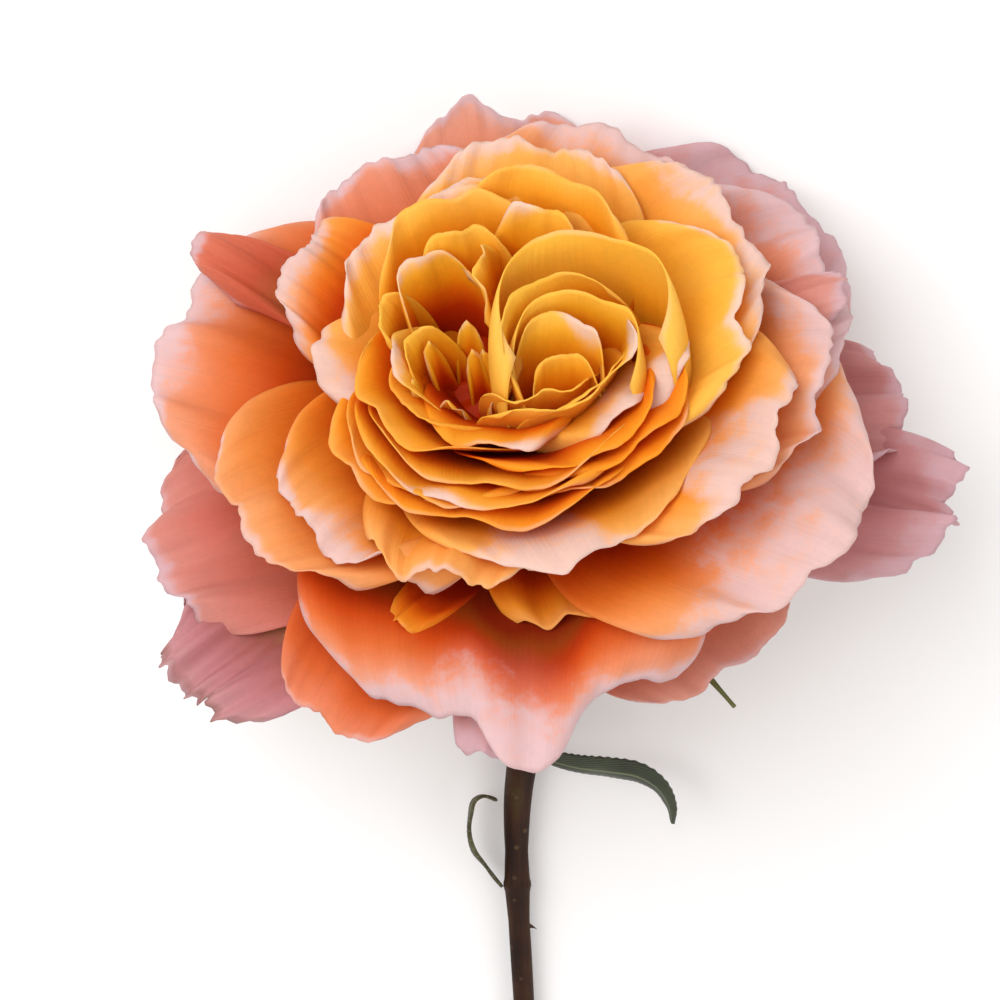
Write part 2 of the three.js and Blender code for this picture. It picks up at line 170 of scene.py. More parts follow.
# Each lamp's name, place, size across and power, in metres and watts.
LAMPS = [
    ("key_light", (-0.3, 0.42, 0.68), 0.6, 4.4),
    ("fill_light", (0.5, -0.3, 0.6), 0.6, 1.2),
]
for name, place, size, power in LAMPS:
    lamp = bpy.data.lights.new(name, "AREA")
    lamp.size = size
    lamp.energy = power
    stand = bpy.data.objects.new(name, lamp)
    stand.location = place
    towards_bloom = BLOOM_MIDDLE - Vector(place)
    stand.rotation_euler = towards_bloom.to_track_quat("-Z", "Y").to_euler()
    bpy.context.scene.collection.objects.link(stand)
print("Lamps:", [name for name, *_ in LAMPS])

# %% [markdown]
# ## The petal rule
# A rose petal grows from a narrow claw, opens away from the axis, cups across its width, and curls and
# ruffles at its rim. One rule says all that for a point u across the petal (-1 to 1) and v along it (0 to 1).
# The numbers of a petal are angles from the flower's axis, sizes in mm, and a few that place its waves.

# %% The petal rule
# How far along the petal it is widest, has opened, cupped and shifted, and where the bends at its end begin.
WIDEST = 0.7
OPEN_BY = 0.55
CUP_BY = 0.5
SHIFT_BY = 0.45
CURL_FROM = 0.62
CURL_SPAN = 0.5
ROLL_FROM = 0.88
ROLL_SPAN = 0.12
RUFFLE_FROM = 0.35
FRILL_FROM = 0.72
# How much sooner the sides curl and roll than the middle.
SIDE_CURL = 0.22
SIDE_ROLL = 0.05
# The cup at the root in degrees, and shares of the width or length that the rim loses and wanders by.
ROOT_CUP = 110
RIM_NARROWING = 0.1
CORNER_CUT = 0.06
WANDER = 0.03
NICK = 0.012
# Petals narrower than this, in mm, wander less.
FULL_WIDTH = 35
WAVES = 2.5
UNEVEN = 0.3
FRILL = 0.45
MIDLINE_STEPS = 28

ORDINARY = dict(
    rise=0, root=5, at=(0, 0), claw=0.25, tip=0, tip_at=0, tip_spread=0.22, blunt=2, taper=0, shoulder=0.25,
    phase=0, roll=15, ragged=0.5, tone=1, blush=1, patches=(), deep=0, warm=0,
)


def petal(turn, lean, open_, flick, length, width, cup, ruffle, **more):
    """One petal's numbers. Those not given keep their ordinary values."""
    return dict(
        ORDINARY, turn=turn, lean=lean, open=open_, flick=flick,
        length=length, width=width, cup=cup, ruffle=ruffle, **more,
    )


def smooth(t):
    """Eases from 0 to 1 while t goes from 0 to 1."""
    t = np.clip(t, 0, 1)
    return t * t * (3 - 2 * t)


def mix(a, b, t):
    """Goes from a to b while t goes from 0 to 1."""
    return a + (b - a) * t


def rim_height(p, u):
    """How far along the petal its rim lies in each column: rounded shoulders, a tip, and small nicks."""
    tip = p["tip"] / p["length"] * np.exp(-np.abs((u - p["tip_at"]) / p["tip_spread"]) ** p["blunt"])
    tip = tip - p["taper"] * np.abs(u - p["tip_at"])
    # Here and below, the rates of the waves share no factor, so that they never fall into step.
    slow = np.sin(5.1 * u + 1.7 * p["phase"])
    quick = 0.6 * np.sin(11.3 * u + 2.9 * p["phase"] + 1)
    wander = WANDER * min(1, p["width"] / FULL_WIDTH)
    nicks = np.sin(23 * u + 5 * p["seed"]) * np.sin(9 * u + 3 * p["seed"])
    nicks = nicks + 0.5 * np.sin(47 * u + 9 * p["seed"])
    corners = CORNER_CUT * np.abs(u) ** 10
    edge = wander * (slow + quick) + NICK * p["ragged"] * nicks
    return 1 - p["shoulder"] * np.abs(u) ** 3 - corners + tip + edge


def open_angle(p, v):
    """The petal's angle from the flower's axis, in degrees, before it curls."""
    return mix(p["lean"], p["open"], smooth(v / OPEN_BY))


def midline(p, u, v):
    """Distance from the axis and height of the petal's middle, found by short steps along it."""
    rim = rim_height(p, u)
    rho = np.full_like(u, p["root"])
    height = np.full_like(u, p["rise"])
    for i in range(MIDLINE_STEPS):
        here = (i + 0.5) / MIDLINE_STEPS * v
        bend = np.clip((here + SIDE_CURL * u * u - CURL_FROM) / CURL_SPAN, 0, 1.2) ** 1.6
        rolled = np.clip((here + SIDE_ROLL * u * u - ROLL_FROM) / ROLL_SPAN, 0, 1) ** 1.5
        rolled = rolled * (1 + np.sin(6.1 * u + 4 * p["seed"]))
        angle = np.radians(open_angle(p, here) + p["flick"] * bend + p["roll"] * rolled)
        step = p["length"] * (1 + (rim - 1) * here) * v / MIDLINE_STEPS
        rho = rho + np.sin(angle) * step
        height = height + np.cos(angle) * step
    return rho, height


def wave_height(p, u, v):
    """Ruffles along the rim and sides, and slow unevenness over the whole blade."""
    along_rim = smooth((v - RUFFLE_FROM) / (1 - RUFFLE_FROM))
    along_sides = 0.8 * smooth((np.abs(u) - 0.5) / 0.5) * smooth(v / 0.6)
    strength = np.maximum(along_rim, along_sides) ** 1.5
    slow = np.sin(2 * np.pi * WAVES * (0.5 * u + 0.12 * v) + p["phase"])
    quick = 0.5 * np.sin(9.7 * u + 4.1 * p["seed"] + 3 * v) * np.sin(4.3 * u - p["seed"])
    small = FRILL * p["ragged"] * np.sin(27 * u + 7 * p["seed"] + 2 * v) * np.sin(7.7 * u + 2 * p["seed"])
    uneven = np.sin(3.1 * u + 4.7 * v + 3 * p["seed"]) * np.sin(6.3 * v + 2 * p["seed"])
    uneven = uneven + 0.5 * np.sin(13 * u + 5 * p["seed"] + 1.5 * v)
    large = p["ruffle"] * (strength * (slow + quick) + UNEVEN * uneven * smooth(v / 0.5))
    return large + small * smooth((v - FRILL_FROM) / (1 - FRILL_FROM))


def petal_points(p, u, v):
    """The petal's points in the flower's frame, in mm."""
    rho, height = midline(p, u, v)
    grown = np.sin(np.pi / 2 * np.clip(v / WIDEST, 0, 1)) ** 1.1
    near_rim = np.clip((v - WIDEST) / (1 - WIDEST), 0, 1)
    narrowed = 1 - RIM_NARROWING * near_rim**2 - CORNER_CUT * near_rim**6
    half = p["width"] / 2 * mix(p["claw"], 1, grown) * narrowed
    half_arc = np.radians(mix(ROOT_CUP, p["cup"], smooth(v / CUP_BY))) / 2
    across = np.sin(half_arc * u) / half_arc * half
    inward = (1 - np.cos(half_arc * u)) / half_arc * half + wave_height(p, u, v)
    slope = np.radians(open_angle(p, v))
    out = rho - np.cos(slope) * inward
    turn = math.radians(p["turn"])
    shift = smooth(v / SHIFT_BY)
    return np.stack([
        out * math.cos(turn) - across * math.sin(turn) + shift * p["at"][0],
        out * math.sin(turn) + across * math.cos(turn) + shift * p["at"][1],
        height + np.sin(slope) * inward,
    ], axis=1)


plain = dict(petal(0, 30, 50, 20, 50, 40, 60, 1), seed=1)
print("A plain petal's tip:", petal_points(plain, np.zeros(1), np.ones(1)).round(1))

# %% [markdown]
# ## The petals' numbers
# The petals come in whorls, from the flat, dusty guard petals at the outside to the small folded ones in
# the eye. They could be modelled one by one, but a row of numbers each is quicker to set against a
# photograph. The first eight say which way a petal faces, how it leans at its root, how far it opens and
# flicks over, how long, wide and cupped it is, and how deep its ruffles are. The others have ordinary
# values unless given: rise and root place its foot, at shifts its blade, tip, tip_at, tip_spread, blunt,
# taper and shoulder shape its rim, phase moves its waves, and roll turns the last of the rim over.
#
# tone picks the skin: 0 golden orange, 1 apricot, 2 coral, 3 mauve-pink, 4 dusky. blush is the width in mm
# of the pale band along the rim, and a patch widens it: where on the rim, over how much of it, and by how
# many mm. deep is how many mm below the rim a petal's colour is at its reddest and darkest. That is
# partly the petal's own deeper colour and partly painted shade, so a petal whose face lies in shadow gets
# a short deep. warm takes the rim part of the way there.

# %% Guard petals
GUARDS = [
    # The first three guards have a short deep, so painted shade darkens them towards their bases.
    petal(193, 70, 95, 5, 54, 38, 10, 1.2, phase=1, ragged=1, tone=2.7, blush=0.9, deep=32, warm=0.05,
          patches=((0.2, 0.5, 1.5),)),
    petal(213, 76, 97, 5, 58, 30, 20, 1.9, tip=2, phase=2, ragged=2.4, tone=3.7, blush=1, deep=25),
    petal(239, 62, 86, 10, 52, 30, 40, 0.8, tone=2, blush=0.8, deep=30, warm=0.18),
    petal(312, 78, 98, 0, 42, 40, 30, 0.5, tone=2.3, blush=1),
    petal(-13, 70, 93, 5, 61, 34, 10, 2.6, at=(0.5, 2.5), tip=3, tip_at=-0.3, shoulder=0.5, phase=3,
          ragged=1.8, tone=3.5, blush=6),
    petal(5, 66, 88, 12, 54, 28, 20, 1.8, at=(-1, 0), shoulder=0.15, phase=1, ragged=0.8, tone=3.1,
          blush=2.5),
    petal(42, 50, 76, 25, 52, 50, 30, 1.7, at=(2, 1.5), ragged=1, tone=2.8, blush=4,
          patches=((-0.6, 0.4, 6), (0.5, 0.3, 6))),
    petal(98, 46, 68, 30, 53, 36, 30, 1.4, at=(2.5, 0), tip=5, tip_at=0.2, ragged=0.9, tone=2.1,
          blush=3),
    petal(264, 52, 84, 24, 53, 12, 60, 0.5, claw=0.6, shoulder=0.08, ragged=0.1, tone=2.9, blush=7),
]
print(len(GUARDS), "guard petals")

# %% Outer petals
OUTER = [
    # The bottom petal's short deep paints the shade in its cup.
    petal(269, 46, 72, 62, 52, 62, 56, 1.8, at=(-1.5, 0), tip=17, tip_at=0.13, tip_spread=0.25,
          blunt=4, phase=1, roll=16, ragged=0.8, tone=1.9, blush=2.5, deep=22,
          patches=((-0.2, 0.4, 6), (0.18, 0.26, 6))),
    petal(325, 40, 70, 30, 54, 58, 45, 1.2, rise=1.5, at=(2, 0.5), tip=9, tip_at=-0.1, tip_spread=0.3,
          shoulder=0.35, roll=12, ragged=0.9, tone=1.5, blush=2.5, deep=40, patches=((0, 0.55, 20),)),
    petal(168, 42, 69, 30, 55, 52, 45, 1.6, tip=2, shoulder=0.3, ragged=1, tone=1.85, blush=2.2,
          deep=34, patches=((-0.4, 0.3, 5), (0.2, 0.2, 3))),
    petal(118, 37, 58, 20, 48, 40, 50, 1.1, ragged=1, tone=2.05, blush=2.5, warm=0.08),
    petal(68, 34, 53, 20, 48, 50, 50, 1.1, tip=3, ragged=1, tone=1.5, blush=2, patches=((0, 0.4, 3),)),
    petal(22, 40, 62, 30, 53, 48, 45, 1.6, ragged=1, tone=2, blush=3.5,
          patches=((-0.5, 0.4, 5), (0.4, 0.3, 6))),
    petal(213, 38, 60, 15, 51, 41, 55, 0.8, ragged=0.8, tone=1.4, blush=1.1, deep=40, warm=0.04),
    petal(352, 36, 57, 15, 52, 42, 55, 0.9, ragged=0.8, tone=1.6, blush=1.5, deep=44,
          patches=((0.6, 0.4, 7),)),
    petal(150, 40, 60, 40, 57, 15, 160, 0.7, at=(-2, -1), claw=0.5, tone=2.4, blush=1.3, deep=36,
          warm=0.28),
    petal(12, 38, 58, 40, 53, 14, 170, 0.6, at=(2, 1), claw=0.5, tone=2.6, blush=2.4, deep=40),
    # These two small petals have a very short deep, so their faces are painted in shade.
    petal(231, 44, 66, 10, 41, 10, 40, 0.3, at=(8.2, -6.2), claw=0.5, ragged=0.1, tone=1, blush=0.4,
          deep=11, warm=0.2),
    petal(281, 44, 67, 10, 42, 27, 40, 0.9, at=(2, 2.5), claw=0.2, tip=4, tip_at=-1, ragged=0.2,
          tone=1, blush=0.4, deep=17, warm=0.1),
]
print(len(OUTER), "outer petals")

# %% Second whorl
SECOND = [
    petal(151, 28, 43, 35, 46, 28, 65, 0.9, at=(-0.5, 1), tip=5, tip_at=-0.75, tip_spread=0.14,
          ragged=1, tone=1.2, blush=1.6, deep=20, warm=0.1, patches=((0.4, 0.4, 4),)),
    petal(226, 33, 54, 30, 49, 40, 65, 1.6, at=(2, 2), phase=1, ragged=1.2, tone=1.2, blush=2, deep=34,
          warm=0.05, patches=((0.05, 0.2, 4),)),
    petal(257, 30, 50, 25, 50, 33, 60, 1.1, at=(0, 2), tip=2, ragged=1, tone=1, blush=0.8, deep=34,
          patches=((0, 0.25, 0.6),)),
    petal(286, 27, 46, 26, 51, 50, 75, 0.5, at=(1.5, 0), tip=11, tip_at=-0.25, tip_spread=0.2,
          taper=0.3, shoulder=0.2, roll=4, tone=0.8, blush=0.6, deep=42, patches=((-0.25, 0.26, 28),)),
    petal(328, 30, 50, 25, 52, 46, 70, 0.8, tip=3, phase=2, ragged=0.9, tone=1, blush=1.2, deep=40,
          patches=((0, 0.35, 18),)),
    petal(32, 27, 46, 22, 50, 46, 70, 1, ragged=1.1, tone=0.8, blush=1.8, deep=60,
          patches=((-0.5, 0.3, 3), (0.4, 0.3, 3))),
    petal(128, 23, 38, 30, 46, 48, 80, 1.2, at=(4.5, -3), ragged=1.2, tone=0.5, blush=1.8, deep=60,
          patches=((0.4, 0.5, 1.5),)),
    petal(85, 25, 42, 18, 47, 40, 70, 1, ragged=1.1, tone=0.6, blush=1.8, deep=60,
          patches=((0.6, 0.3, 3),)),
    petal(7, 23, 40, 25, 48, 44, 90, 0.8, tip=2, ragged=0.9, tone=0.2, blush=1.6, deep=80),
]
print(len(SECOND), "second-whorl petals")

# %% Inner petals
INNER_ORDINARY = dict(root=4, ragged=0.2, tone=0.6, blush=0.6, deep=23)


def inner(*numbers, **more):
    """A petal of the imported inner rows, which share most of their other numbers."""
    return petal(*numbers, **{**INNER_ORDINARY, **more})


INNER = [
    inner(262, 8, 46, 12, 45, 46, 90, 0.5, rise=1, at=(0, -1.5), tone=0.8, deep=25, warm=0.2),
    inner(255, 4, 43, 10, 44, 46, 100, 0.5, rise=2, at=(0.5, -2.5), tone=0.7, warm=0.13,
          patches=((-0.2, 0.3, 1.5),)),
    inner(184, 16, 38, 60, 43, 27, 90, 0.5, rise=2, at=(1.5, 1.5), tip=3, shoulder=0.4, tone=0.8,
          blush=1, deep=0, patches=((0.5, 0.5, 8),)),
    inner(320, 6, 43, 12, 44, 36, 90, 0.5, rise=2, tone=0.7, blush=0.4, warm=0.25),
    inner(343, 14, 32, 60, 42, 26, 90, 0.4, rise=3, tip=3, shoulder=0.5, deep=0,
          patches=((-0.3, 0.5, 8),)),
    inner(220, 2, 38, 8, 41, 34, 110, 0.4, rise=3, blush=0.4, warm=0.13),
    inner(100, 18, 31, 10, 43, 38, 90, 0.6, rise=2, ragged=0.4, tone=0.4, blush=1.6, deep=60),
    inner(262, 2, 34, 34, 38, 28, 120, 0.3, rise=4, root=3, at=(0, 1.5), tip=4, tip_at=0.6, blush=0.7,
          warm=0.2, patches=((0.5, 0.25, 2.2),)),
    inner(322, 4, 34, 45, 39, 26, 110, 0.3, rise=4, root=3, tip=3, shoulder=0.5, deep=28,
          patches=((0.1, 0.4, 7),)),
    inner(215, 2, 33, 12, 36, 24, 120, 0.3, rise=4, root=3, tone=0.5, blush=0.4, warm=0.13),
    inner(266, 0, 43, 8, 41, 46, 105, 0.4, rise=3, at=(0, -1), warm=0.13),
    inner(305, 2, 42, 10, 42, 36, 100, 0.4, rise=3.5, blush=0.4, warm=0.25),
    inner(240, 2, 45, 10, 43, 38, 100, 0.4, rise=2, at=(-1, -2), tone=0.7, warm=0.13),
    inner(225, 6, 48, 14, 44, 32, 90, 0.5, rise=1, at=(0, -1), tip=2, tone=0.8, warm=0.13),
    inner(310, 6, 45, 14, 44, 38, 90, 0.5, rise=1, at=(1, 0), tone=0.7, deep=25, warm=0.25),
]
print(len(INNER), "inner petals")

# %% Folded petals that quarter the middle
FOLD_ORDINARY = dict(rise=4, root=3, ragged=0.2, tone=0.1, blush=0.4, deep=26)


def fold(*numbers, **more):
    """A petal folded round the middle."""
    return petal(*numbers, **{**FOLD_ORDINARY, **more})


FOLDS = [
    fold(92, 6, 11, 6, 39, 62, 245, 0.25, at=(11.4, 3), claw=0.2, tone=0, blush=0.6, deep=90),
    fold(135, 4, 8, 3, 38, 34, 170, 0.2, root=2.5, at=(7.7, -1.5), claw=0.25, tone=0),
    fold(80, 2, 6, 3, 37, 42, 225, 0.25, root=2, at=(10.6, -2), claw=0.2, tone=0),
    fold(80, 2, 6, 30, 36, 26, 215, 0.2, root=2, at=(7.2, -6.2), claw=0.2, patches=((-0.3, 0.3, 3),)),
    fold(95, 0, 4, 6, 34, 17, 180, 0.2, root=1.5, at=(8.2, -9), claw=0.3, deep=20),
    fold(325, 6, 15, 10, 37, 30, 130, 0.25, at=(6.5, -2.6), patches=((0.5, 0.3, 3),)),
    fold(300, 6, 15, 8, 36, 30, 110, 0.3, at=(5, -3)),
    fold(280, 4, 10, 8, 35, 22, 110, 0.3, at=(4, -3.5)),
    fold(130, 4, 8, 10, 37, 22, 190, 0.3, root=2.5, at=(-8.4, 5), claw=0.25, blush=0.6, deep=20,
         patches=((0, 1, 1),)),
    fold(170, 3, 8, 8, 36, 15, 150, 0.2, root=2.5, at=(-11, 2), claw=0.3),
    fold(192, 6, 14, 14, 35, 22, 120, 0.25, root=2.5, at=(-5.9, -2), tip=3, shoulder=0.4, tone=0.2,
         blush=0.6, patches=((0, 0.3, 3),)),
    fold(150, 2, 6, 6, 34, 15, 160, 0.2, root=2, at=(-9.3, -3.5), claw=0.3, tone=0, deep=20),
    fold(105, 4, 8, 8, 38, 18, 90, 0.3, at=(-5, 7)),
    fold(175, 0, 3, 4, 39, 15, 50, 0.3, root=1, at=(-0.5, 8), blush=0.6),
    fold(75, 4, 8, 14, 39, 18, 90, 0.3, at=(3, 9), tip=2, tip_at=0.5, blush=0.6,
         patches=((0.5, 0.3, 2.5),)),
    fold(112, 6, 16, 10, 40, 30, 90, 0.5, at=(-5, 8), tone=0.3, blush=0.5),
    fold(70, 6, 14, 12, 40, 34, 90, 0.5, at=(3, 12), tone=0.3, blush=0.5),
]
print(len(FOLDS), "folded petals")

# %% The small petals in the eye
EYE = [
    petal(turn, 2, open_, flick, length, width, cup, 0.2, rise=4, root=1.5, claw=0.5, at=at, ragged=0.2,
          tone=0, blush=0.8, roll=10, tip=2, shoulder=0.4, deep=14)
    for turn, open_, flick, length, width, cup, at in [
        (250, 6, 20, 30, 6, 120, (-7, -5)),
        (300, 4, 16, 31, 6, 120, (-3, -5)),
        (200, 6, 20, 31, 6, 120, (-9, -5)),
        (90, 3, 10, 31, 6, 120, (-6, -1)),
        (150, 4, 10, 32, 5, 110, (-8, -3)),
        (30, 4, 10, 31, 5, 110, (-3, -2)),
        (110, 3, 12, 30, 4, 100, (-4, -5)),
        (60, 3, 12, 29, 4, 100, (-5.5, -4)),
    ]
]
print(len(EYE), "eye petals")

# %% [markdown]
# ## Petal colours
# The petals of this rose are golden orange inside and red-orange deeper down. Between the rows that red
# is partly the petals' own colour and partly painted shade, darker the deeper a point lies. Towards the
# outside they turn coral and then dusty mauve-pink, with a pale, frosted band along the rim. A painted
# picture could carry that, but it would blur close up and fit one petal only. So each point keeps six
# numbers for the material to read: how far along the petal and how deep under its tip it lies, how far
# across, how many mm from the rim, and the petal's tone and blush. Ramps turn depth into colour and
# painted shade, and noise breaks up every border.

# %% Petal tones and painted shade
# Each tone's colours, from deep in the bloom (0) out to the rim (1). The dark red and brown low stops are
# partly the petals' own deeper colour and partly painted shade, down between the petals and in the cup of
# the bottom petal.
PETAL_TONES_AND_SHADE = {
    "golden": [(0.0, "#B01C00"), (0.4, "#E04402"), (0.56, "#F87C08"), (0.7, "#FFAC14"), (0.86, "#FFC42C"),
               (1.0, "#FFD050")],
    "apricot": [(0.0, "#AC2400"), (0.38, "#DC4C04"), (0.56, "#F68010"), (0.76, "#FCA42C"), (1.0, "#FCBC6C")],
    "coral": [(0.0, "#942C0C"), (0.14, "#A04810"), (0.3, "#C03C08"), (0.46, "#DC5414"), (0.64, "#E87438"),
              (0.8, "#EC9068"), (1.0, "#ECAA90")],
    "mauve": [(0.0, "#B8A850"), (0.25, "#C88C50"), (0.42, "#C46C58"), (0.65, "#D68480"), (1.0, "#DCA09C")],
    "dusky": [(0.0, "#A89048"), (0.25, "#A87C50"), (0.45, "#A8605A"), (0.75, "#CC8C94"), (0.93, "#D29CA4"),
              (1.0, "#946A60")],
}
print("Tones:", list(PETAL_TONES_AND_SHADE))

# %% Petal material
# The sizes of the blotches, of the patches that tatter the frost and of its grain, in mm.
BLOTCH_SIZE = 12.5
PATCH_SIZE = 4.5
GRAIN_SIZE = 1.1
VEINS_TO_HALF_WIDTH = 60
SEEN_THROUGH = 0.32


def petal_skin(name, back):
    """Living petal skin, grown in cells like tiny domes. They scatter the light, so it looks like satin and
    hardly shines, and it is thin enough to glow where light comes from behind.
    back is how much paler and duller the outside of the petal is than its face."""
    material, tree = new_material(name)
    along = add(tree, "Attribute", attribute_name="along").outputs["Fac"]
    across = add(tree, "Attribute", attribute_name="across").outputs["Fac"]
    rim = add(tree, "Attribute", attribute_name="rim").outputs["Fac"]
    tone = add(tree, "Attribute", attribute_name="tone").outputs["Fac"]
    blush = add(tree, "Attribute", attribute_name="blush").outputs["Fac"]
    place = add(tree, "TexCoord").outputs["Object"]

    # Slow blotches shift where one colour gives way to the next.
    blotch = add(tree, "TexNoise", {
        "Vector": place, "Scale": scale_for(BLOTCH_SIZE), "Detail": 1}).outputs["Fac"]
    shifted = add(tree, "Math", {0: blotch, 1: 0.16, 2: -0.08}, operation="MULTIPLY_ADD").outputs[0]
    depth = add(tree, "Attribute", attribute_name="depth").outputs["Fac"]
    depth = add(tree, "Math", {0: depth, 1: shifted}, operation="ADD").outputs[0]
    # The ramps darken and redden with depth: partly the petals' own deeper colour, partly painted shade down
    # between them.
    ramps = [add(tree, "ValToRGB", {"Fac": depth}, stops=stops).outputs[0]
             for stops in PETAL_TONES_AND_SHADE.values()]
    colour = ramps[0]
    for step, dustier in enumerate(ramps[1:]):
        share = add(tree, "Math", {0: tone, 1: float(step)},
                    operation="SUBTRACT", use_clamp=True).outputs[0]
        colour = add(tree, "Mix", {0: share, 6: colour, 7: dustier}, data_type="RGBA").outputs[2]

    # The frosted band is widest where blush says so. Patches tatter its border and grain roughens it. The
    # real grain is single cells, 0.03 mm across, and is drawn coarser to show at all.
    nearness = add(tree, "Math", {0: rim, 1: blush}, operation="DIVIDE").outputs[0]
    enough = add(tree, "MapRange", {"Value": blush, "From Min": 0.5, "From Max": 1.8}).outputs[0]
    family = add(tree, "Math", {0: tone, 1: 3.0}, operation="DIVIDE").outputs[0]
    faded = add(tree, "ValToRGB", {"Fac": family},
                stops=[(0.0, "#FFD48C"), (0.33, "#FCC894"), (0.66, "#F2B6A4"), (1.0, "#DCA4A4")]).outputs[0]
    fade = add(tree, "MapRange", {
        "Value": nearness, "From Min": 0.0, "From Max": 1.7, "To Min": 0.6, "To Max": 0.0},
        interpolation_type="SMOOTHSTEP").outputs[0]
    fade = add(tree, "Math", {0: fade, 1: enough}, operation="MULTIPLY").outputs[0]
    colour = add(tree, "Mix", {0: fade, 6: colour, 7: faded}, data_type="RGBA").outputs[2]
    grain = add(tree, "TexNoise", {
        "Vector": place, "Scale": scale_for(GRAIN_SIZE), "Detail": 2, "Roughness": 0.7}).outputs["Fac"]
    patch = add(tree, "TexNoise", {
        "Vector": place, "Scale": scale_for(PATCH_SIZE), "Detail": 1}).outputs["Fac"]
    broken = add(tree, "Math", {0: grain, 1: 0.8, 2: nearness}, operation="MULTIPLY_ADD").outputs[0]
    broken = add(tree, "Math", {0: patch, 1: 1.4, 2: broken}, operation="MULTIPLY_ADD").outputs[0]
    frost = add(tree, "MapRange", {
        "Value": broken, "From Min": 1.25, "From Max": 2.3, "To Min": 0.92, "To Max": 0.0},
        interpolation_type="SMOOTHSTEP").outputs[0]
    pale = add(tree, "ValToRGB", {"Fac": family},
               stops=[(0.0, "#F8DECC"), (0.33, "#F0D2CA"), (0.66, "#E8CACE"), (1.0, "#DEB8C0")]).outputs[0]
    frost = add(tree, "Math", {0: frost, 1: enough}, operation="MULTIPLY").outputs[0]
    colour = add(tree, "Mix", {0: frost, 6: colour, 7: pale}, data_type="RGBA").outputs[2]

    # Veins fan out along the petal, so they lie a third of a mm apart on a middling petal.
    fan = add(tree, "CombineXYZ", {0: across, 1: along}).outputs[0]
    stretched = add(tree, "Mapping", {"Vector": fan, "Scale": (VEINS_TO_HALF_WIDTH, 2.5, 1)}).outputs[0]
    veins = add(tree, "TexNoise", {
        "Vector": stretched, "Scale": 1.0, "Detail": 2, "Roughness": 0.65}).outputs["Fac"]
    gently = {"From Min": 0.3, "From Max": 0.7, "To Min": 0.97, "To Max": 1.02}
    shade = add(tree, "MapRange", {"Value": veins, **gently}).outputs[0]
    speck = add(tree, "MapRange", {"Value": grain, **gently}).outputs[0]
    shade = add(tree, "Math", {0: shade, 1: speck}, operation="MULTIPLY").outputs[0]
    colour = add(tree, "Mix", {0: 1.0, 6: colour, 7: shade},
                 data_type="RGBA", blend_type="MULTIPLY").outputs[2]
    colour = add(tree, "Mix", {0: back, 6: colour, 7: linear("#F0C890")}, data_type="RGBA").outputs[2]

    # The relief needs only the broadest of the veins, and one layer of noise is quick to render.
    ridges = add(tree, "TexNoise", {"Vector": stretched, "Scale": 1.0, "Detail": 0}).outputs["Fac"]
    bump = add(tree, "Bump", {"Height": ridges, "Strength": 0.13, "Distance": 0.0004}).outputs[0]
    skin = add(tree, "BsdfPrincipled", {
        "Base Color": colour, "Roughness": 0.6, "Specular IOR Level": 0.2, "Normal": bump}).outputs[0]
    through = add(tree, "BsdfTranslucent", {"Color": colour, "Normal": bump}).outputs[0]
    leafy = add(tree, "MixShader", {0: SEEN_THROUGH, 1: skin, 2: through}).outputs[0]
    add(tree, "OutputMaterial", {"Surface": leafy})
    return material


PALER_BACK = 0.1
PETAL_BACK = petal_skin("rose_petal_back", PALER_BACK)
PETAL_FACE = petal_skin("rose_petal_face", 0)
print("Petal nodes:", len(PETAL_FACE.node_tree.nodes))

# %% [markdown]
# ## Growing a whorl
# Blender can add a flat grid in one step, and its own points already carry u and v. Moving each point by the
# petal rule turns it into a petal. A Solidify modifier gives the blade its thickness, thin at the rim and
# fleshy at the claw, and a second material for the petal's face. One short function hands every finished
# mesh over as a piece that stands for a solid of the CAD model.

# %% Finished pieces
def finish_piece(mesh, name, materials, node):
    """Turns a finished bmesh into a piece of the rose that stands for a CAD node."""
    for face in mesh.faces:
        face.smooth = True
    data = bpy.data.meshes.new(name)
    mesh.to_mesh(data)
    mesh.free()
    for material in materials:
        data.materials.append(material)
    piece = bpy.data.objects.new(name, data)
    bpy.context.scene.collection.objects.link(piece)
    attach(piece, "root")
    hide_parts(node)
    print(name, len(data.polygons), "faces")
    return piece


# %% Whorl maker
PETAL_THICKNESS = 0.45
RIM_THINNESS = 0.45
TABLE_CLEARANCE = 0.3
NUMBERS = ("along", "depth", "across", "rim", "tone", "blush")
# Down the sides the rim counts as further off, by this many mm at the root, so the pale band thins out.
SIDE_BAND = 14
# Each petal's seed lies this much past the last one's, a step that never comes round to the same waves.
SEED_STEP = 0.618


